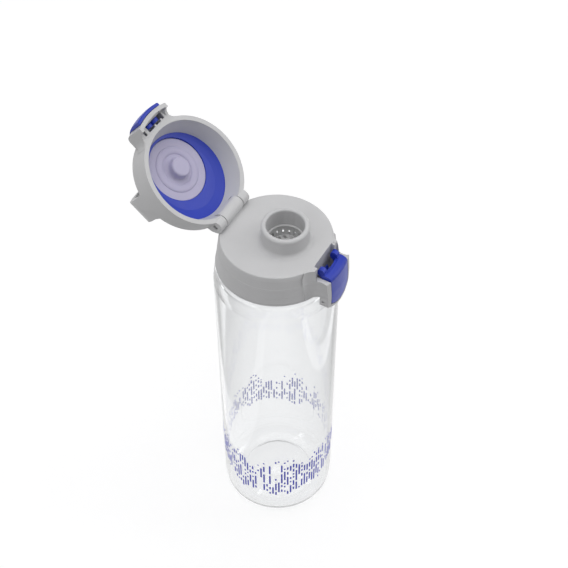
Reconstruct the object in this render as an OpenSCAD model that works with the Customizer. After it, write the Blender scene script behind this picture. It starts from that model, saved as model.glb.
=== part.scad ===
// Clear drinking bottle with a screw cap, an off-centre spout and a latched flip cover.
// Millimetres. Origin on the bottle axis at the standing plane, +Z up.
// The latch faces -Y, the hinge is at +Y and its axis runs along X. The cover is drawn open.

/* [Bottle] */
// Outside diameter of the clear body
body_d = 74; // [73:0.5:76]
// Height at which the straight body turns into the shoulder
body_top = 214; // [150:1:260]
// Thickness of the clear wall
wall = 2.4; // [1.8:0.1:2.8]
// Radius of the rounded heel
heel_r = 11.5; // [9:0.5:12]
// Height of the raised centre of the base
punt_h = 8; // [5:0.5:12]

/* [Neck and thread] */
// Outside radius of the neck
neck_r = 26.4; // [26:0.1:26.6]
// Rise of the thread in one turn
thread_pitch = 4; // [3.6:0.1:5]
// Turns that the cap makes from tight to free
thread_turns = 1.25; // [1:0.05:1.4]

/* [Cap] */
// Radius at the edge of the cap's top disc
disc_r = 32.4; // [31.8:0.1:33]
// Radius at the bottom of the skirt
skirt_r = 35.4; // [35:0.1:36]
// Height of the spout above the disc
spout_h = 12; // [10:0.5:12]
// Outside radius of the spout
spout_r = 13.8; // [13.5:0.1:14.2]
// Inside radius of the spout
spout_bore = 10.84; // [9:0.01:11]
// How far the spout stands forward of the bottle axis
spout_offset = 5.85; // [5:0.05:6.5]

/* [Hinge] */
// Distance of the hinge axis behind the bottle axis
hinge_y = 30.8; // [30.6:0.1:31]
// Height of the hinge axis above the disc
hinge_rise = 3.7; // [3.6:0.1:3.8]
// Radius of the hinge barrels
barrel_r = 4.3; // [4.2:0.1:4.4]
// Radius of the steel hinge pin
pin_r = 1.5; // [1:0.1:1.8]
// Angle at which the cover stands open
open_angle = 140; // [0:5:140]

/* [Cover] */
// Outside radius of the cover
cover_r = 32.25; // [32:0.05:32.4]
// Height of the top of the cover above its rim, at the middle
cover_h = 17.8; // [17.4:0.1:20]
// Slope of the top, down towards the hinge
top_slope = 2.5; // [0:0.5:3]
// Height of the carry loop above the rim
loop_h = 37; // [30:1:42]
// Thickness of the carry loop
loop_t = 4.2; // [3:0.2:5]

/* [Latch] */
// Width over the latch housing and the cover's front lug
latch_w = 25; // [24.6:0.2:25.4]
// Width of the push button's face
button_w = 19; // [18:0.2:19.2]

/* [Hidden] */
$fn = 128;
eps = 0.01;

cap_grey = [0.80, 0.80, 0.80];
accent_blue = [0.16, 0.22, 0.72];
seal_lilac = [0.74, 0.72, 0.82];
steel = [0.75, 0.76, 0.78];

// Levels, worked up from the shoulder
body_r = body_d / 2;
shoulder_top = body_top + 13.3;
cap_bottom = shoulder_top + 0.6;
lip_z = shoulder_top + 16.6;
under_disc = lip_z + 1.8;
disc_z = under_disc + 2.5;
spout_top = disc_z + spout_h;
hinge_z = disc_z + hinge_rise;
thread_z = shoulder_top + 5.7;

// Bottle
foot_r = body_r - heel_r;
recess_r = foot_r - 2;
recess_h = 2.5;
base_t = 3;
shoulder_r = skirt_r + 0.1;
neck_bore = neck_r - wall;
bottle_crest = neck_r + 1.2;

// Cap
bore_r = neck_r + 1.6;
cap_crest = neck_r + 0.4;
thread_w = 1.5;
spout_y = -spout_offset;
gasket_in = neck_bore + 0.2;
gasket_out = neck_r - 0.2;
pocket_y = -29.8;
fit_gap = 0.35;

// Strainer
strainer_r = 12;
strainer_top = disc_z + 0.5;
strainer_floor = strainer_top - 8.2;
strainer_bore = 10.9;

// Hinge
knuckle_w = 17;
cover_knuckle_x = 8.8;
arm_x = cover_knuckle_x + 0.2;
hinge_half = 15;
running = 0.05;

// Cover, in its closed place
rim_z = disc_z + 0.1;
rim_in = 29.5;
liner_r = 26.1;
liner_z = rim_z + 10.9;
top_z = rim_z + cover_h;
seal_r = 18.8;
seal_z = spout_top + 0.9;
seal_t = 1.2;
plug_r = 6;
plug_h = 5.4;
rib_gap = 0.1;
boss_r = 20;
boss_top = seal_z + seal_t + 0.5;

// Front lug of the cover and the latch housing of the cap
lug_half = latch_w / 2;
lug_bottom = rim_z - 4.9;
lug_top = rim_z + 10.5;
lug_front = 40.4;
lug_back = -35.7;
lug_wall = 1.9;
wall_top = disc_z - 7.8;
fin_r = 8;
house_bottom = disc_z - 31;
pocket_half = button_w / 2 + 0.4;
tongue_y = -38.5;
skirt_gap = body_r + 0.35;

// Button
button_top = wall_top + 0.2;
button_bottom = house_bottom + 1.6;
button_back = 39.2;
pivot_y = -37.4;
pivot_z = disc_z - 24;
latch_pin_r = 1;
ear_x = 7.4;
ear_w = 3;
ear_y = -33.6;
ear_r = 2.2;
ear_z = disc_z - 4.4;

function arc(cx, cy, r, from, to, n = 10) =
    [for (i = [0:n]) let (a = from + (to - from) * i / n) [cx + r * cos(a), cy + r * sin(a)]];

// Height of a shallow dome that rises by rise over the radius r
function dome(r, z_edge, rise, n = 8) =
    [for (i = [0:n]) let (x = r * (1 - i / n)) [x, z_edge + rise * (1 - pow(x / r, 2))]];

// A helical ridge from the root radius to the crest radius, outward or inward
module thread(root, crest, z0) {
    step = 12;
    n = round(thread_turns * 360 / step);
    half_root = thread_w / 2;
    half_crest = thread_w / 4;
    low = min(root, crest);
    half_low = crest > root ? half_root : half_crest;
    high = max(root, crest);
    half_high = crest > root ? half_crest : half_root;
    section = [[low, -half_low], [low, half_low], [high, half_high], [high, -half_high]];
    points = [for (i = [0:n]) let (a = i * step, lift = z0 + thread_pitch * a / 360)
        for (p = section) [p[0] * cos(a), p[0] * sin(a), lift + p[1]]];
    sides = [for (i = [0:n - 1]) for (k = [0:3]) let (a = 4 * i + k, b = 4 * i + (k + 1) % 4)
        [a, a + 4, b + 4, b]];
    finish = [for (k = [3:-1:0]) 4 * n + k];
    polyhedron(points, concat([[0, 1, 2, 3]], sides, [finish]), convexity = 6);
}

// Extrudes a shape drawn in Y and Z along X, centred
module across(width) {
    rotate([90, 0, 90]) linear_extrude(width, center = true) children();
}

// Turns a shape from the cover's closed place to its open one
module opened() {
    translate([0, hinge_y, hinge_z])
        rotate([-open_angle, 0, 0])
            translate([0, -hinge_y, -hinge_z]) children();
}

module mirrored_x() {
    children();
    mirror([1, 0, 0]) children();
}

// Clear body with a domed base, a rounded heel, a soft shoulder and a threaded neck
module bottle() {
    slope = body_r - shoulder_r;
    floor_r = recess_r - 1.5;
    rise = punt_h - recess_h;
    base = concat([for (i = [8:-1:0]) dome(recess_r, recess_h, rise)[i]],
        [[recess_r, 0], [foot_r, 0]]);
    side = concat(arc(foot_r, heel_r, heel_r, -80, 0),
        [for (i = [0:6]) [body_r - slope * pow(i / 6, 1.6), body_top + 12 * i / 6]],
        arc(shoulder_r - 1.3, shoulder_top - 1.3, 1.3, 20, 90, 5),
        [[neck_r + 0.5, shoulder_top], [neck_r, shoulder_top + 0.5], [neck_r, lip_z - 0.4],
         [neck_r - 0.4, lip_z], [neck_bore + 0.4, lip_z], [neck_bore, lip_z - 0.4]]);
    inside = concat(
        [[neck_bore, shoulder_top + 0.4], [neck_bore + 1.2, shoulder_top - 1.4],
         [shoulder_r - 4.6, shoulder_top - 2.5], [shoulder_r - wall - 0.3, shoulder_top - 4.6]],
        [for (i = [4:-1:0]) [body_r - wall - slope * pow(i / 6, 1.6), body_top + 12 * i / 6]],
        arc(foot_r, heel_r, heel_r - wall, 0, -60, 8),
        [[foot_r, base_t]],
        dome(floor_r, recess_h + base_t, rise));
    color([0.86, 0.90, 0.92, 0.35]) union() {
        rotate_extrude() polygon(concat(base, side, inside));
        thread(neck_r - 0.3, bottle_crest, thread_z);
    }
}

// Outline of the cap's skirt, from its bottom up to the disc; inset moves it inward
function skirt_side(inset = 0) = [
    [skirt_r - inset, cap_bottom], [skirt_r - 0.5 - inset, cap_bottom + 2.1],
    [disc_r + 1.6 - inset, cap_bottom + 9.1], [disc_r + 0.5 - inset, disc_z - 2.7]];

// Plan of the latch housing, lug or pocket: everything in front of back within half
module front_strip(half, back) {
    translate([-half, -body_r - 20]) square([2 * half, 20 + body_r + back]);
}

// Front face shared by the housing and the button: slightly barrelled
module latch_cone(inset = 0) {
    rotate_extrude($fn = 180) polygon([[0, house_bottom - 2], [42 - inset, house_bottom - 2],
        [42.5 - inset, house_bottom + 6], [42.5 - inset, house_bottom + 13],
        [41.8 - inset, wall_top + 0.6], [41.1 - inset, disc_z], [0, disc_z]]);
}

// Shield outline of the housing and the button: straight sides and a rounded bottom
module shield(half, bottom, top) {
    sag = 4;
    bow = (half * half + sag * sag) / (2 * sag);
    intersection() {
        translate([-half, bottom]) square([2 * half, top - bottom]);
        union() {
            translate([0, bottom + bow]) circle(r = bow, $fn = 180);
            translate([-half, bottom + sag + 1.5]) square([2 * half, top - bottom]);
        }
    }
}

module shield_block(half, bottom, top, back) {
    translate([0, back, 0]) rotate([90, 0, 0])
        linear_extrude(body_r) shield(half, bottom, top);
}

// Concave flare that carries one side wall of the latch housing into the skirt
module housing_flare() {
    fillet = 8;
    sunk = 0.3;
    low = sqrt(pow(skirt_r - sunk + fillet, 2) - pow(lug_half + fillet, 2));
    high = sqrt(pow(disc_r + 0.5 - sunk + fillet, 2) - pow(lug_half + fillet, 2));
    bottom = cap_bottom + 0.2;
    top = disc_z - 0.25;
    lean = (low - high) / (disc_z - cap_bottom);
    difference() {
        translate([lug_half - 1, -body_r - 5, bottom]) cube([8, body_r + 5 - 27.5, top - bottom]);
        multmatrix([[1, 0, 0, lug_half + fillet], [0, 1, lean, -low], [0, 0, 1, cap_bottom]])
            translate([0, 0, -2]) cylinder(h = 30, r = fillet, $fn = 240);
    }
}

module latch_housing() {
    difference() {
        intersection() {
            union() {
                shield_block(lug_half, house_bottom, disc_z - 0.6, -28.5);
                mirrored_x() housing_flare();
            }
            latch_cone();
        }
        translate([0, 0, house_bottom - 1]) cylinder(h = cap_bottom - house_bottom + 1, r = skirt_gap);
        translate([0, 0, cap_bottom - eps]) cylinder(h = 40, r = bore_r + 0.5);
    }
}

// Room for the button, for its pivot bosses and, above them, for its ears
module latch_pocket() {
    difference() {
        shield_block(pocket_half, button_bottom - 0.5, disc_z + 5, pocket_y);
        translate([0, 0, house_bottom]) cylinder(h = 40, r = abs(tongue_y));
    }
    translate([-pocket_half, pocket_y - 20, cap_bottom + 1.6])
        cube([2 * pocket_half, 20, disc_z]);
    mirrored_x() translate([pocket_half - 2.6, tongue_y - 5, pivot_z - 3])
        cube([2.6, 5 + abs(tongue_y) - 34, 6]);
}

// Room for the cover's lug, in front of the disc's edge; the walls sweep down beside it
module lug_notch() {
    back = -31.9;
    reach = 2 * (lug_half + fin_r);
    translate([-lug_half - 0.5, -body_r - 20, wall_top])
        cube([latch_w + 1, 20 + body_r + back, disc_z]);
    translate([0, back - fin_r, wall_top + fin_r + 0.2]) rotate([0, 90, 0])
        cylinder(h = reach, r = fin_r, center = true, $fn = 96);
    translate([-reach / 2, -body_r - 20, wall_top + 0.2])
        cube([reach, 20 + body_r + back - fin_r, disc_z]);
}

module spout() {
    flare = 2.4;
    outer = 0.55 * (spout_r - spout_bore);
    inner = 0.36 * (spout_r - spout_bore);
    translate([0, spout_y, 0]) rotate_extrude() polygon(concat(
        [[spout_bore, under_disc], [spout_r + flare, under_disc]],
        arc(spout_r + flare, disc_z + flare, flare, 270, 180, 8),
        arc(spout_r - outer, spout_top - outer, outer, 0, 90, 8),
        arc(spout_bore + inner, spout_top - inner, inner, 90, 180, 6)));
}

module knuckle() {
    translate([-knuckle_w / 2, hinge_y, hinge_z]) rotate([0, 90, 0])
        cylinder(h = knuckle_w, r = barrel_r, $fn = 64);
    across(knuckle_w) polygon([[hinge_y - 3.6, under_disc + 1], [disc_r - 0.1, under_disc + 1],
        [hinge_y + 1.25, disc_z - 0.4], [hinge_y + 2.6, disc_z + 1], [hinge_y - 3.4, disc_z + 1.1]]);
}

// Screw cap in one moulding: threaded sleeve, skirt, disc, spout, centre knuckle, latch housing
module cap_shell() {
    shell = concat([[bore_r, cap_bottom]], skirt_side(),
        arc(disc_r - 0.8, disc_z - 0.8, 0.8, 10, 90, 5),
        [[0, disc_z], [0, under_disc], [gasket_in - 1.7, under_disc], [gasket_in - 1.5, lip_z - 1],
         [gasket_in - 0.3, lip_z - 1], [gasket_in - 0.3, under_disc], [bore_r, under_disc]]);
    cavity = [[bore_r + 1.9, cap_bottom - 1], [skirt_r - 2.1, cap_bottom - 1],
        [disc_r - 1.2, under_disc - 1], [bore_r + 1.9, under_disc - 1]];
    color(cap_grey) union() {
        difference() {
            union() {
                difference() {
                    rotate_extrude() polygon(shell);
                    difference() {
                        rotate_extrude() polygon(cavity);
                        translate([0, 0, cap_bottom - 2]) linear_extrude(30)
                            front_strip(lug_half + 1.6, -20);
                    }
                }
                latch_housing();
                spout();
                translate([0, spout_y, under_disc - 1.5]) cylinder(h = 2, r = strainer_r + 1.6);
                knuckle();
            }
            latch_pocket();
            lug_notch();
            translate([0, spout_y, 0]) {
                translate([0, 0, under_disc - 5]) cylinder(h = 30, r = spout_bore);
                translate([0, 0, under_disc - 5]) cylinder(h = strainer_top - under_disc + 5,
                    r = strainer_r);
            }
            for (side = [-1, 1])
                translate([side > 0 ? knuckle_w / 2 : -hinge_half - 0.6, hinge_y, hinge_z])
                    rotate([0, 90, 0])
                        cylinder(h = hinge_half + 0.6 - knuckle_w / 2, r = barrel_r + 0.3, $fn = 64);
            translate([-knuckle_w, hinge_y, hinge_z]) rotate([0, 90, 0])
                cylinder(h = 2 * knuckle_w, r = pin_r, $fn = 48);
            translate([-latch_w, pivot_y, pivot_z]) rotate([0, 90, 0])
                cylinder(h = 2 * latch_w, r = latch_pin_r, $fn = 32);
        }
        thread(bore_r + 0.3, cap_crest, thread_z - thread_pitch / 2);
    }
}

// Silicone ring between the neck's lip and the underside of the disc
module cap_gasket() {
    color(seal_lilac) translate([0, 0, lip_z]) difference() {
        cylinder(h = under_disc - lip_z, r = gasket_out);
        translate([0, 0, -1]) cylinder(h = 5, r = gasket_in);
    }
}

// Basket under the spout, with a thick lattice floor and slots round its side
module strainer() {
    side_slots = 20;
    hole = [2.9, 1.7];
    pitch = [4.2, 3.3];
    floor_t = 3;
    color(cap_grey) translate([0, spout_y, 0]) difference() {
        rotate_extrude() polygon([[0, strainer_floor - floor_t], [strainer_r - 1.2, strainer_floor - floor_t],
            [strainer_r - 0.5, strainer_floor - floor_t + 0.7], [strainer_r, under_disc - 3.6],
            [strainer_r, strainer_top], [spout_bore - 0.2, strainer_top],
            [spout_bore - 0.8, strainer_top - 0.5], [spout_bore - 0.8, strainer_top - 1.1],
            [strainer_bore, strainer_top - 1.8], [strainer_bore - 0.5, strainer_floor],
            [0, strainer_floor]]);
        intersection() {
            cylinder(h = 400, r = strainer_bore - 1.3);
            rotate(54) for (i = [-2:2], j = [-3:3])
                translate([i * pitch[0] - hole[0] / 2, j * pitch[1] - hole[1] / 2, strainer_floor - floor_t - 1])
                    cube([hole[0], hole[1], floor_t + 2]);
        }
        for (i = [0:side_slots - 1]) rotate(i * 360 / side_slots)
            translate([strainer_bore - 2, -0.55, strainer_floor + 0.9]) cube([5, 1.1, 3]);
    }
}

// Push button: curved shield face, two ears that hold the cover's lug, and two pivot bosses
module latch_button() {
    half = button_w / 2;
    color(accent_blue) difference() {
        union() {
            difference() {
                intersection() {
                    shield_block(half, button_bottom, button_top, -30);
                    latch_cone(0.1);
                }
                translate([0, 0, button_bottom - 1]) cylinder(h = 40, r = button_back);
            }
            intersection() {
                translate([-half, -body_r - 20, button_bottom]) cube([button_w, body_r, 60]);
                rotate_extrude($fn = 180) button_shoulder();
            }
            mirrored_x() translate([ear_x, 0, 0]) across(ear_w) ear();
            mirrored_x() translate([half - 1.5 - eps, pivot_y, pivot_z]) rotate([0, 90, 0])
                cylinder(h = 1.5, r = 1.9, $fn = 48);
            mirrored_x() translate([half - 1.5 - eps, -button_back - 0.6, pivot_z - 1.9])
                cube([1.5, button_back + 0.6 + pivot_y, 3.8]);
        }
        translate([-latch_w, pivot_y, pivot_z]) rotate([0, 90, 0])
            cylinder(h = 2 * latch_w, r = latch_pin_r + running, $fn = 32);
    }
}

// Section of the button's thick top: it rounds back from the face to a low ridge
module button_shoulder() {
    ridge_r = 37.4;
    rise = 2.4;
    run = 4.2;
    polygon(concat([[ridge_r - 2, button_top - 2], [ridge_r + run, button_top - 2]],
        [for (i = [0:8]) let (a = 11.25 * i) [ridge_r + run * cos(a), button_top + rise * sin(a)]],
        [[ridge_r - 0.5, button_top + rise - 0.1], [ridge_r - 0.9, button_top + rise - 0.5],
         [ridge_r - 2, button_top + rise - 0.6]]));
}

// Side view of an ear: it rises behind the ridge and ends in a round nose
module ear() {
    translate([ear_y, ear_z]) circle(r = ear_r, $fn = 48);
    polygon([[-36.6, button_top - 1.5], [-36.6, button_top + 1.8], [ear_y - ear_r, ear_z - 0.6],
        [ear_y - ear_r, ear_z], [ear_y + ear_r, ear_z], [ear_y + ear_r, ear_z - 2],
        [ear_y - 0.6, button_top - 1.5]]);
}

// Two short steel pins, pressed into the housing's side walls
module latch_pins() {
    color(steel) mirrored_x() translate([button_w / 2 - 1.3, pivot_y, pivot_z]) rotate([0, 90, 0])
        cylinder(h = lug_half - button_w / 2 + 0.7, r = latch_pin_r, $fn = 32);
}

// Leaf that pushes the button out; its foot sits in the button's back
module latch_spring() {
    root = [-button_back + 0.15, disc_z - 17.6];
    color(steel) across(5) polygon([root, root + [2.9, 0.4], root + [5.8, 3.4], root + [7.7, 7.8],
        root + [7.3, 7.9], root + [5.4, 3.7], root + [2.7, 0.9], root + [0, 0.5]]);
}

// Steel pin, a press fit in the centre knuckle
module hinge_pin() {
    color(steel) translate([-hinge_half + 1, hinge_y, hinge_z]) rotate([0, 90, 0])
        cylinder(h = 2 * hinge_half - 2, r = pin_r, $fn = 48);
}

// Body of the cover with a softly domed, sloping top
module cover_dome() {
    edge = 4.5;
    drop = 2.6;
    flat_r = cover_r + 0.5 - edge;
    intersection() {
        translate([0, 0, rim_z]) cylinder(h = 40, r = cover_r);
        translate([0, 0, top_z]) rotate([-top_slope, 0, 0]) rotate_extrude() polygon(concat(
            [[0, -30], [cover_r + 3, -30]],
            arc(flat_r, -drop - edge, edge, 0, 82, 8),
            [for (i = [0:8]) let (x = flat_r * (1 - i / 8)) [x, -drop * pow(x / flat_r, 2)]]));
    }
}

// Arch over the top of the cover, cut to the cover's round plan
module carry_loop() {
    bend = 20;
    half = cover_r - 0.1;
    root_z = rim_z + 9;
    intersection() {
        rotate([90, 0, 0]) linear_extrude(2 * half, center = true) difference() {
            arch(half, bend, root_z, rim_z + loop_h);
            translate([0, -eps]) arch(half - loop_t, bend - loop_t, root_z - 1,
                rim_z + loop_h - loop_t);
        }
        across(2 * cover_r) polygon([[-14.5, root_z], [-12.4, root_z + 3], [-11.2, root_z + 7],
            [-10.6, rim_z + loop_h], [3.6, rim_z + loop_h], [4.2, root_z + 7],
            [5.4, root_z + 3], [7.5, root_z]]);
        translate([0, 0, rim_z]) cylinder(h = loop_h + 5, r = cover_r);
    }
}

module arch(half, bend, bottom, top) {
    polygon(concat([[half, bottom]], arc(half - bend, top - bend, bend, 0, 90, 12),
        arc(-half + bend, top - bend, bend, 90, 180, 12), [[-half, bottom]]));
}

// Outline that the lug's front and the slider's back share; gap moves it outward
function lug_side(gap = 0) = concat([[0, lug_bottom - gap], [lug_front + gap, lug_bottom - gap]],
    arc(lug_front - 3, lug_top - 3, 3 + gap, 0, 60, 6),
    [[cover_r - 2, lug_top + 2.4 + gap], [0, lug_top + 2.4 + gap]]);

// Lug at the front of the cover: a box open below, with slots in its floor
module lug() {
    difference() {
        intersection() {
            translate([-lug_half, -lug_front - 1, lug_bottom])
                cube([latch_w, lug_front - 28, lug_top - lug_bottom]);
            rotate_extrude() polygon(lug_side());
        }
        across(2 * latch_w) polygon(concat([[-20, lug_bottom - 1], [lug_back, lug_bottom - 1]],
            arc(lug_back + 4, lug_bottom + 0.6, 4, 180, 102, 5),
            [[-32.4, rim_z + 0.02], [-20, rim_z + 0.02]]));
        intersection() {
            translate([-lug_half + lug_wall, -lug_front, lug_bottom - 1])
                cube([latch_w - 2 * lug_wall, lug_front, rim_z - lug_bottom + 1]);
            translate([0, 0, lug_bottom - 1]) cylinder(h = 20, r = lug_front - 2.4);
        }
    }
    mirrored_x() lug_flare();
    // Catch ribs above the ears
    mirrored_x() translate([ear_x - ear_w / 2, -37.9, lug_bottom + 0.5]) cube([ear_w, 0.9, 1.4]);
}

// Small concave flare between one side of the lug and the cover's side
module lug_flare() {
    fillet = 5;
    y = sqrt(pow(cover_r - 0.15 + fillet, 2) - pow(lug_half + fillet, 2));
    difference() {
        translate([lug_half - 1, -y, rim_z + 0.15]) cube([4, 7, lug_top - rim_z - 2]);
        translate([lug_half + fillet + 0.1, -y - 0.3, rim_z - 1])
            cylinder(h = 30, r = fillet, $fn = 96);
    }
}

// Room in the lug for the slider's web and fingers
module lug_cavity() {
    room = pocket_half - 0.4;
    translate([-room, -lug_front + 2.4, rim_z + 1.2]) cube([2 * room, lug_front - 2.4 - 32.5, 5.2]);
    difference() {
        translate([-5.4, -36.5, rim_z - 1]) cube([14.4, 4, 3]);
        for (x = [0.2, 5.8]) translate([x, -33.6, rim_z - 2]) cube([1.2, 3, 5]);
    }
    translate([-9.2, -35.8, rim_z - 1]) cube([1.6, 3.3, 3]);
    translate([-room, -lug_front - 2, rim_z + 1.9]) cube([2 * room, 6, 3.8]);
}

// Section of an outer knuckle with the web that runs up the cover's side
module cover_arm() {
    circle(r = barrel_r, $fn = 64);
    polygon([[-barrel_r, 0], [-4.2, 6.4], [-2.9, 6.6], [-1.4, 5.8], [1, 5], [barrel_r * sin(45),
        barrel_r * cos(45)]]);
}

// Outer knuckles; their ends sweep out of the cover's side in a concave curve
module cover_knuckles() {
    sweep = 8;
    axis_y = sqrt(pow(cover_r - 0.2 + sweep, 2) - pow(hinge_half - 0.5 + sweep, 2));
    difference() {
        mirrored_x() translate([(arm_x + hinge_half) / 2, hinge_y, hinge_z])
            across(hinge_half - arm_x) cover_arm();
        mirrored_x() translate([hinge_half - 0.5 + sweep, axis_y, rim_z - 10])
            cylinder(h = 40, r = sweep, $fn = 96);
    }
}

// Cover moulding: dome, carry loop, front lug and two outer knuckles
module cover_shell() {
    inner = concat([[0, rim_z - 9], [rim_in, rim_z - 9], [rim_in, rim_z], [liner_r, liner_z]],
        liner_top());
    color(cap_grey) opened() difference() {
        union() {
            cover_dome();
            carry_loop();
            lug();
            cover_knuckles();
        }
        intersection() {
            rotate_extrude() polygon(inner);
            union() {
                translate([0, 0, rim_z]) cylinder(h = 20, r = 50);
                translate([-20, -20, rim_z - 9]) cube([40, 40, 9 + eps]);
            }
        }
        translate([0, spout_y, liner_z]) cylinder(h = boss_top - liner_z, r = boss_r);
        translate([-cover_knuckle_x, hinge_y, hinge_z]) rotate([0, 90, 0])
            cylinder(h = 2 * cover_knuckle_x, r = barrel_r + fit_gap, $fn = 64);
        translate([-cover_knuckle_x, hinge_y - 3.8, rim_z - 2])
            cube([2 * cover_knuckle_x, 10, hinge_rise + 1.9]);
        translate([-2 * hinge_half, hinge_y, hinge_z]) rotate([0, 90, 0])
            cylinder(h = 4 * hinge_half, r = pin_r + running, $fn = 48);
        lug_cavity();
    }
}

// Upper outline of the liner, from its edge to the middle
function liner_top() = [[liner_r, liner_z + 1], [liner_r - 1.5, liner_z + 1.2],
    [liner_r - 3.5, liner_z + 2.4], [0, liner_z + 2.4]];

// Coloured disc that closes the inside of the cover
module cover_liner() {
    color(accent_blue) opened() difference() {
        union() {
            rotate_extrude() polygon(concat([[0, liner_z + 1.6], [liner_r - 6, liner_z + 1.3],
                [liner_r - 2.5, liner_z + 0.6], [liner_r, liner_z]], liner_top()));
            translate([0, spout_y, liner_z + 1.7]) cylinder(h = boss_top - liner_z - 1.7, r = boss_r);
        }
        translate([0, spout_y, liner_z - 1]) cylinder(h = seal_z + seal_t - liner_z + 1, r = seal_r);
    }
}

// Silicone disc with a soft rib that meets the spout's lip and a plug that enters its bore
module mouth_seal() {
    rib_r = (spout_r + spout_bore) / 2 - 0.8;
    rib_half = 2.3;
    rib_h = seal_z - spout_top - rib_gap;
    tip = seal_z - plug_h;
    color(seal_lilac) opened() translate([0, spout_y, 0]) rotate_extrude() polygon(concat(
        [[0, seal_z + seal_t], [seal_r, seal_z + seal_t], [seal_r, seal_z + 0.3],
         [seal_r - 0.3, seal_z]],
        [for (i = [0:10]) [rib_r + rib_half * cos(18 * i), seal_z - rib_h * sin(18 * i)]],
        arc(plug_r + 1.8, seal_z - 1.8, 1.8, 90, 180, 5),
        arc(plug_r - 1.4, tip + 1.4, 1.4, 0, -90, 5),
        [[0, tip]]));
}

// Curved thumb piece that hugs the lug's front, with a web that carries two fingers inside
module lock_slider() {
    half = button_w / 2;
    low = lug_bottom + 1;
    color(accent_blue) opened() {
        difference() {
            intersection() {
                translate([-half, -lug_front - 4, low]) cube([2 * half, 8, 20]);
                rotate_extrude() polygon([[0, low], [lug_front + 1.6, low], [lug_front + 2.1, low + 0.8],
                    [lug_front + 2.2, rim_z], [lug_front + 1.9, rim_z + 4], [lug_front + 1.1, rim_z + 7],
                    [lug_front - 0.1, rim_z + 9.4], [lug_front - 1.6, rim_z + 10.6], [0, rim_z + 10.6]]);
            }
            rotate_extrude() polygon(lug_side(0.2));
            translate([0, 0, low - 5]) cylinder(h = rim_z - low + 6, r = lug_front + 0.2);
        }
        intersection() {
            translate([-6.5, -lug_front - 1, rim_z + 2.1]) cube([13, lug_front - 32.9, 3.4]);
            cylinder(h = 400, r = lug_front + 1);
        }
        for (x = [-2.8, 2.8]) translate([x, -34.15, rim_z + 1.2]) rotate([90, 0, 0])
            cylinder(h = 2, r = 2.4, $fn = 32);
    }
}

bottle();
cap_shell();
cap_gasket();
strainer();
latch_button();
latch_pins();
latch_spring();
hinge_pin();
cover_shell();
cover_liner();
mouth_seal();
lock_slider();
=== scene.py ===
"""Looks of a clear sports bottle with a screw cap and a hinged cover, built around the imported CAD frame.

Metres, +Z up, origin on the bottle's axis where it stands. The latch faces -Y and the cover's hinge is at +Y.
"""

import math
import random

import bpy
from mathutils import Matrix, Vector


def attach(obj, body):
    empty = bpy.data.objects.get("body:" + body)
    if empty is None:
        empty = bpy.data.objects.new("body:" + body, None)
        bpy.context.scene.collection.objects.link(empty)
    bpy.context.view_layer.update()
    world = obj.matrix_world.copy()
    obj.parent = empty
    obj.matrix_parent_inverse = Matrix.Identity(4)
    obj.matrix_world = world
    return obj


MM = 0.001

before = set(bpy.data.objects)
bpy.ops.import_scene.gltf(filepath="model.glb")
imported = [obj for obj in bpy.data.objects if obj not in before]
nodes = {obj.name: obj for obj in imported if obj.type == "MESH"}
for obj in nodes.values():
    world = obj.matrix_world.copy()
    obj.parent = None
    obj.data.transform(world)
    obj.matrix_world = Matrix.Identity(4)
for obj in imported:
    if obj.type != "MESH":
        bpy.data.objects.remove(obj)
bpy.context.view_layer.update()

# ---------------------------------------------------------------- camera

CAMERA_AT = Vector((-0.40022, -0.23312, 0.75165))
CAMERA_AIM = Vector((0.0, -0.005, 0.2085))
LENS_MM = 76.9
SENSOR_MM = 36

camera_data = bpy.data.cameras.new("camera")
camera_data.lens = LENS_MM
camera_data.sensor_width = SENSOR_MM
camera_data.clip_start = 0.02
camera_data.clip_end = 50
camera = bpy.data.objects.new("camera", camera_data)
camera.location = CAMERA_AT
camera.rotation_euler = (CAMERA_AIM - CAMERA_AT).to_track_quat("-Z", "Y").to_euler()
bpy.context.scene.collection.objects.link(camera)
bpy.context.scene.camera = camera
bpy.context.scene.view_settings.view_transform = "Standard"


# ---------------------------------------------------------------- node helpers

class Nodes:
    """Makes shader nodes in one material or world, with links written as arguments."""

    def __init__(self, tree):
        self.tree = tree
        tree.nodes.clear()

    def add(self, kind, _set=(), **inputs):
        n = self.tree.nodes.new(kind)
        for key, value in dict(_set).items():
            setattr(n, key, value)
        for key, value in inputs.items():
            self.put(n, key.replace("_", " "), value)
        return n

    def put(self, n, key, value):
        socket = n.inputs[int(key[1:])] if key[0] == "i" and key[1:].isdigit() else n.inputs[key]
        if isinstance(value, bpy.types.NodeSocket):
            self.tree.links.new(value, socket)
        elif isinstance(value, bpy.types.Node):
            self.tree.links.new(value.outputs[0], socket)
        else:
            socket.default_value = value

    def math(self, operation, a, b=0.0):
        return self.add("ShaderNodeMath", {"operation": operation}, i0=a, i1=b)

    def noise(self, where, scale, detail=3.0, rough=0.5):
        n = self.add("ShaderNodeTexNoise", {"noise_dimensions": "3D"}, Vector=where, Scale=scale,
                     Detail=detail, Roughness=rough)
        return n.outputs["Fac"]

    def ramp(self, value, low, high, out_low=0.0, out_high=1.0):
        n = self.add("ShaderNodeMapRange", {"clamp": True}, Value=value)
        n.inputs["From Min"].default_value = low
        n.inputs["From Max"].default_value = high
        n.inputs["To Min"].default_value = out_low
        n.inputs["To Max"].default_value = out_high
        return n.outputs[0]

    def blend(self, factor, a, b):
        n = self.add("ShaderNodeMix", {"data_type": "RGBA"})
        self.put(n, "Factor", factor)
        for index, value in ((6, a), (7, b)):
            self.put(n, f"i{index}", value)
        return n.outputs[2]


def material(name):
    m = bpy.data.materials.new(name)
    m.use_nodes = True
    return m, Nodes(m.node_tree)


BEVEL_SAMPLES = 6
GRAIN_DEPTH_MM = 0.02
RING_DEPTH_MM = 0.45


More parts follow.
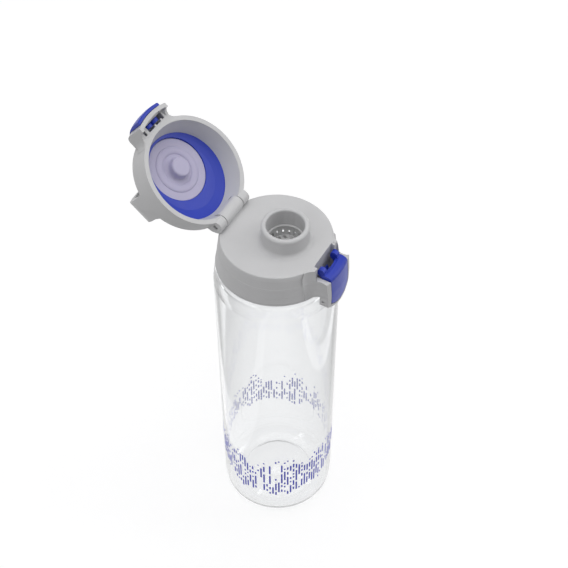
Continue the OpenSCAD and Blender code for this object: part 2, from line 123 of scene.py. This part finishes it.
def shade(colour, factor):
    """The colour made lighter or darker, with its alpha."""
    return (*[min(1.0, c * factor) for c in colour], 1.0)


def moulded(name, colour, roughness, variation=0.03, grain_mm=0.25, grain=0.12, edge_mm=0.3,
            rings=None, **surface):
    """Injection-moulded plastic: slight tone variation, a fine spark-eroded grain and softened edges.

    rings gives the lowest and highest level of fine rings in metres, their pitch in mm and their strength.
    """
    m, t = material(name)
    where = t.add("ShaderNodeTexCoord").outputs["Object"]
    cloud = t.noise(where, 45, 4.0, 0.55)
    flow = t.noise(where, 260, 2.0)
    tone = t.blend(t.ramp(cloud, 0.3, 0.7), shade(colour, 1 - variation), shade(colour, 1 + variation))
    rough = t.math("ADD", t.ramp(flow, 0.3, 0.7, roughness - 0.035, roughness + 0.035),
                   t.ramp(cloud, 0.35, 0.65, -0.02, 0.02))
    soft = t.add("ShaderNodeBevel", {"samples": BEVEL_SAMPLES}, Radius=edge_mm * MM)
    grain_height = t.noise(where, 1 / (grain_mm * MM), 2.0, 0.6)
    bump = t.add("ShaderNodeBump", Strength=grain, Distance=GRAIN_DEPTH_MM * MM, Height=grain_height,
                 Normal=soft)
    if rings:
        low, high, pitch_mm, strength = rings
        z = t.add("ShaderNodeSeparateXYZ", Vector=where).outputs["Z"]
        inside = t.math("MULTIPLY", t.ramp(z, low, low + 0.001), t.ramp(z, high, high + 0.0006, 1.0, 0.0))
        band = t.noise(t.add("ShaderNodeCombineXYZ", Z=z), 1 / (pitch_mm * MM), 1.0)
        height = t.math("MULTIPLY", inside, band)
        bump = t.add("ShaderNodeBump", Strength=strength, Distance=RING_DEPTH_MM * MM, Height=height,
                     Normal=bump)
    shader = t.add("ShaderNodeBsdfPrincipled", Base_Color=tone, Roughness=rough, Normal=bump, **surface)
    t.add("ShaderNodeOutputMaterial", Surface=shader)
    return m


# ---------------------------------------------------------------- materials

GREY = (0.60, 0.60, 0.605)
BLUE = (0.018, 0.044, 0.45)
LILAC = (0.50, 0.475, 0.63)
INK = (0.055, 0.070, 0.62)
# painted backlight: a paler copy of INK for the inner skins of the print, standing in for light shining
# through the ink from outside
INK_PAINTED_BACKLIGHT = (0.22, 0.24, 0.72)
CAP_RINGS = (0.2285, 0.2395, 1.1, 1.0)

cap_plastic = moulded("cap_plastic", GREY, 0.46, rings=CAP_RINGS, IOR=1.49)
cover_plastic = moulded("cover_plastic", GREY, 0.46, IOR=1.49)
strainer_plastic = moulded("strainer_plastic", (0.66, 0.66, 0.66), 0.5, edge_mm=0.15, IOR=1.49)
accent_plastic = moulded("accent_plastic", BLUE, 0.40, variation=0.05, grain=0.08, edge_mm=0.35, IOR=1.5)
silicone = moulded("silicone", LILAC, 0.5, variation=0.02, grain_mm=0.4, grain=0.1, edge_mm=0.4,
                   IOR=1.41, Subsurface_Weight=0.25, Subsurface_Radius=(1.0, 0.8, 0.9),
                   Subsurface_Scale=0.0015)


def brushed_steel():
    """Drawn wire: fine lines along X and a little anisotropy."""
    m, t = material("pin_steel")
    where = t.add("ShaderNodeTexCoord").outputs["Object"]
    lines = t.noise(t.add("ShaderNodeMapping", Vector=where, Scale=(60, 2500, 2500)), 1.0, 3.0)
    soft = t.add("ShaderNodeBevel", {"samples": BEVEL_SAMPLES}, Radius=0.2 * MM)
    bump = t.add("ShaderNodeBump", Strength=0.15, Distance=0.01 * MM, Height=lines, Normal=soft)
    tone = t.blend(lines, (0.50, 0.50, 0.51, 1), (0.64, 0.64, 0.65, 1))
    shader = t.add("ShaderNodeBsdfPrincipled", Base_Color=tone, Metallic=1.0, Anisotropic=0.4,
                   Roughness=t.ramp(lines, 0.2, 0.8, 0.22, 0.36), Normal=bump)
    t.add("ShaderNodeOutputMaterial", Surface=shader)
    return m


def clear_plastic():
    """Clear copolyester with faint moulding waves and light rubbing marks.

    Its wall takes up a little light, so that it greys where it is looked along, and lamps reach through it.
    """
    m, t = material("clear_body")
    where = t.add("ShaderNodeTexCoord").outputs["Object"]
    waves = t.noise(t.add("ShaderNodeMapping", Vector=where, Scale=(60, 60, 9)), 1.0, 2.0)
    rubs = t.noise(t.add("ShaderNodeMapping", Vector=where, Scale=(900, 900, 50)), 1.0, 4.0, 0.7)
    bump = t.add("ShaderNodeBump", Strength=0.10, Distance=0.35 * MM, Height=waves)
    shader = t.add("ShaderNodeBsdfPrincipled", Base_Color=(0.965, 0.97, 0.975, 1),
                   Roughness=t.ramp(rubs, 0.55, 0.8, 0.015, 0.07), Normal=bump, IOR=1.54)
    shader.inputs["Transmission Weight"].default_value = 1.0
    lamps = t.add("ShaderNodeBsdfTransparent", Color=(0.93, 0.935, 0.94, 1))
    path = t.add("ShaderNodeLightPath").outputs["Is Shadow Ray"]
    tint = t.add("ShaderNodeVolumeAbsorption", Color=(0.74, 0.76, 0.78, 1), Density=22.0)
    t.add("ShaderNodeOutputMaterial", Volume=tint,
          Surface=t.add("ShaderNodeMixShader", i0=path, i1=shader, i2=lamps))
    return m


def ink(name, colour):
    """Screen-printed ink: opaque, slightly glossy, with a little unevenness in its film."""
    m, t = material(name)
    where = t.add("ShaderNodeTexCoord").outputs["Object"]
    film = t.noise(where, 900, 3.0)
    tone = t.blend(t.ramp(film, 0.3, 0.7), shade(colour, 0.9), shade(colour, 1.12))
    bump = t.add("ShaderNodeBump", Strength=0.1, Distance=0.01 * MM, Height=film)
    shader = t.add("ShaderNodeBsdfPrincipled", Base_Color=tone, Normal=bump,
                   Roughness=t.ramp(film, 0.3, 0.7, 0.36, 0.46))
    t.add("ShaderNodeOutputMaterial", Surface=shader)
    return m


def give(node, m):
    for slot_index in range(len(nodes[node].material_slots)):
        nodes[node].material_slots[slot_index].material = m


FINISHES = {
    "bottle": clear_plastic(),
    "cap_shell": cap_plastic,
    "cap_gasket": silicone,
    "strainer": strainer_plastic,
    "latch_button": accent_plastic,
    "latch_pins": brushed_steel(),
    "latch_spring": accent_plastic,
    "hinge_pin": brushed_steel(),
    "cover_shell": cover_plastic,
    "cover_liner": accent_plastic,
    "mouth_seal": silicone,
    "lock_slider": accent_plastic,
}
for node_name, finish in FINISHES.items():
    give(node_name, finish)

# ---------------------------------------------------------------- printed band of dashes

BODY_R = 37.0
INK_PROUD = 0.02
COLUMNS = 116
DASH_W = 1.15
BAND_Z = 49.5
FRONT_OF_BAND = math.radians(205)
LEAST_HALF = 3.5
SEED = 11
FIRST_DASH = (-1.5, 2.5)
OVERRUN = 2
LONG_SHARE = 0.5
LONG_DASH = (6.0, 14.0)
SHORT_DASH = (1.4, 4.0)
KEPT_SHARE = 0.80
GAP = (1.6, 4.0)
DOT_SHARE = 0.3
DOT = (1.2, 2.2)
DOT_LIFT = (2.5, 6.5)
END_CUT = 0.35


def band_limits(turn):
    """Lowest and highest level of the dashes at a place round the bottle, turn from 0 to 1."""
    a = 2 * math.pi * turn
    b = a - FRONT_OF_BAND
    middle = BAND_Z - 3.5 * math.cos(b) - 2.5 * math.cos(2 * b) + 1.5 * math.sin(5 * a + 2.1)
    half = (12 + 2.5 * math.cos(b) + 1.5 * math.cos(2 * b)
            + 2.5 * math.sin(7 * a + 0.4) + 1.5 * math.sin(13 * a))
    half = max(half, LEAST_HALF)
    return middle - half, middle + half


def print_band():
    """Columns of thin tiles on the wall, half sunk in it, whose inner skins are painted paler: a lighter copy
    of the ink stands in for light shining through the film from outside.
    """
    rng = random.Random(SEED)
    vertices, faces, backs = [], [], []
    for column in range(COLUMNS):
        turn = column / COLUMNS
        low, high = band_limits(turn)
        z = low + rng.uniform(*FIRST_DASH)
        while z < high:
            length = rng.uniform(*(LONG_DASH if rng.random() < LONG_SHARE else SHORT_DASH))
            if rng.random() < KEPT_SHARE:
                add_dash(vertices, faces, backs, 2 * math.pi * turn, z, min(z + length, high + OVERRUN))
            z += length + rng.uniform(*GAP)
        if rng.random() < DOT_SHARE:
            z = high + rng.uniform(*DOT_LIFT)
            add_dash(vertices, faces, backs, 2 * math.pi * turn, z, z + rng.uniform(*DOT))
    mesh = bpy.data.meshes.new("print_band")
    mesh.from_pydata([Vector(v) * MM for v in vertices], [], faces)
    mesh.update()
    band = bpy.data.objects.new("print_band", mesh)
    bpy.context.scene.collection.objects.link(band)
    mesh.materials.append(ink("print_ink", INK))
    # the inner skins take the paler copy of the ink, a painted backlight
    mesh.materials.append(ink("print_ink_painted_backlight", INK_PAINTED_BACKLIGHT))
    for index in backs:
        mesh.polygons[index].material_index = 1
    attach(band, "bottle")


def add_dash(vertices, faces, backs, angle, low, high):
    """One tile with cut corners: an outer skin, an inner skin that backs keeps the number of, and a rim."""
    cut = min(END_CUT, (high - low) / 3)
    half = DASH_W / 2
    outline = [(-half, low + cut), (-half + cut, low), (half - cut, low), (half, low + cut),
               (half, high - cut), (half - cut, high), (-half + cut, high), (-half, high - cut)]
    start = len(vertices)
    for radius in (BODY_R + INK_PROUD, BODY_R - INK_PROUD):
        for across, z in outline:
            a = angle + across / BODY_R
            vertices.append((radius * math.cos(a), radius * math.sin(a), z))
    n = len(outline)
    faces.append([start + i for i in range(n)])
    backs.append(len(faces))
    faces.append([start + n + i for i in reversed(range(n))])
    for i in range(n):
        j = (i + 1) % n
        faces.append([start + j, start + i, start + n + i, start + n + j])


print_band()

# ---------------------------------------------------------------- studio


def softbox(name, place, aim, width, height, power):
    data = bpy.data.lights.new(name, "AREA")
    data.shape = "RECTANGLE"
    data.size = width
    data.size_y = height
    data.energy = power
    lamp = bpy.data.objects.new(name, data)
    lamp.location = place
    lamp.rotation_euler = (Vector(aim) - Vector(place)).to_track_quat("-Z", "Y").to_euler()
    bpy.context.scene.collection.objects.link(lamp)


AIM = (0, 0, 0.16)
WORLD_STRENGTH = 0.55

softbox("strip_left", (-1.0, 0.45, 0.8), AIM, 0.14, 1.2, 1.5)
softbox("key_right", (0.75, -1.0, 0.9), AIM, 0.5, 1.0, 3.6)
softbox("top", (0.05, 0.0, 1.6), AIM, 1.1, 1.1, 7.6)


def studio_world():
    world = bpy.data.worlds.new("studio")
    bpy.context.scene.world = world
    world.use_nodes = True
    t = Nodes(world.node_tree)
    direction = t.add("ShaderNodeTexCoord").outputs["Generated"]
    up = t.add("ShaderNodeSeparateXYZ", Vector=direction).outputs["Z"]
    tone = t.blend(t.ramp(up, -0.1, 0.75), (0.42, 0.42, 0.43, 1), (0.95, 0.95, 0.96, 1))
    t.add("ShaderNodeOutputWorld", Surface=t.add("ShaderNodeBackground", Color=tone, Strength=WORLD_STRENGTH))


# What the floor shows through the bottle changes along the direction (ACROSS_X, -ACROSS_Y). This is painted
# light:
# greyer sides paint shade and two bright strips paint highlight streaks into the bottle. Each ramp has
# two distances and the brightness at each. Each strip has its middle, its half width and its brightness.
FLOOR_HALF = 6.0
FLOOR_GAP = 0.0002
ACROSS_X = 0.50
ACROSS_Y = 0.86
# painted highlights: strips that glow brighter to rays passing through the bottle and show as white streaks
# in it
PAINTED_HIGHLIGHT_STRIPS = ((-0.085, 0.016, 0.60), (0.150, 0.010, 0.9))
STRIP_EDGE = 0.004
# painted shade: the floor dims at the bottle's sides for rays passing through it, so its walls grey there
PAINTED_SHADE_RAMP = (0.030, 0.11, 0.95, 0.42)
FAR_WHITE = (0.22, 0.5, 0.0, 0.95)
FLOOR_GLOW = 0.71


def floor():
    """A wide white sheet: bright where it is looked at, dimmer for the light it throws up on the object.

    Seen through the bottle it glows with painted light: greyer sides paint shade into the bottle and two
    bright strips paint highlight streaks on it, and it is white again far off.
    """
    mesh = bpy.data.meshes.new("floor")
    corners = [(-FLOOR_HALF, -FLOOR_HALF, 0), (FLOOR_HALF, -FLOOR_HALF, 0),
               (FLOOR_HALF, FLOOR_HALF, 0), (-FLOOR_HALF, FLOOR_HALF, 0)]
    mesh.from_pydata(corners, [], [(0, 1, 2, 3)])
    sheet = bpy.data.objects.new("floor", mesh)
    bpy.context.scene.collection.objects.link(sheet)
    sheet.location.z = -FLOOR_GAP
    m, t = material("floor_white")
    diffuse = t.add("ShaderNodeBsdfDiffuse", Color=(0.4, 0.4, 0.4, 1), Roughness=0.5)
    glow = t.add("ShaderNodeEmission", Color=(1, 1, 1, 1), Strength=FLOOR_GLOW)
    seen = t.add("ShaderNodeAddShader", i0=diffuse, i1=glow)
    dim = t.add("ShaderNodeBsdfDiffuse", Color=(0.35, 0.35, 0.35, 1), Roughness=0.5)
    place = t.add("ShaderNodeSeparateXYZ", Vector=t.add("ShaderNodeTexCoord").outputs["Object"])
    across = t.math("SUBTRACT", t.math("MULTIPLY", place.outputs["X"], ACROSS_X),
                    t.math("MULTIPLY", place.outputs["Y"], ACROSS_Y))
    aside = t.math("ABSOLUTE", across)
    side = t.math("MAXIMUM", t.ramp(aside, *PAINTED_SHADE_RAMP), t.ramp(aside, *FAR_WHITE))
    for middle, half, gain in PAINTED_HIGHLIGHT_STRIPS:
        off = t.math("ABSOLUTE", t.math("SUBTRACT", across, middle))
        side = t.math("ADD", side, t.ramp(off, half, half + STRIP_EDGE, gain, 0.0))
    # the painted light that only rays passing through the bottle see: grey sides and bright strips
    through = t.add("ShaderNodeEmission", Color=(1, 1, 1, 1), Strength=side)
    path = t.add("ShaderNodeLightPath")
    straight = t.add("ShaderNodeMixShader", i0=path.outputs["Is Diffuse Ray"], i1=seen, i2=dim)
    t.add("ShaderNodeOutputMaterial", Surface=t.add(
        "ShaderNodeMixShader", i0=path.outputs["Is Transmission Ray"], i1=straight, i2=through))
    mesh.materials.append(m)


studio_world()
floor()
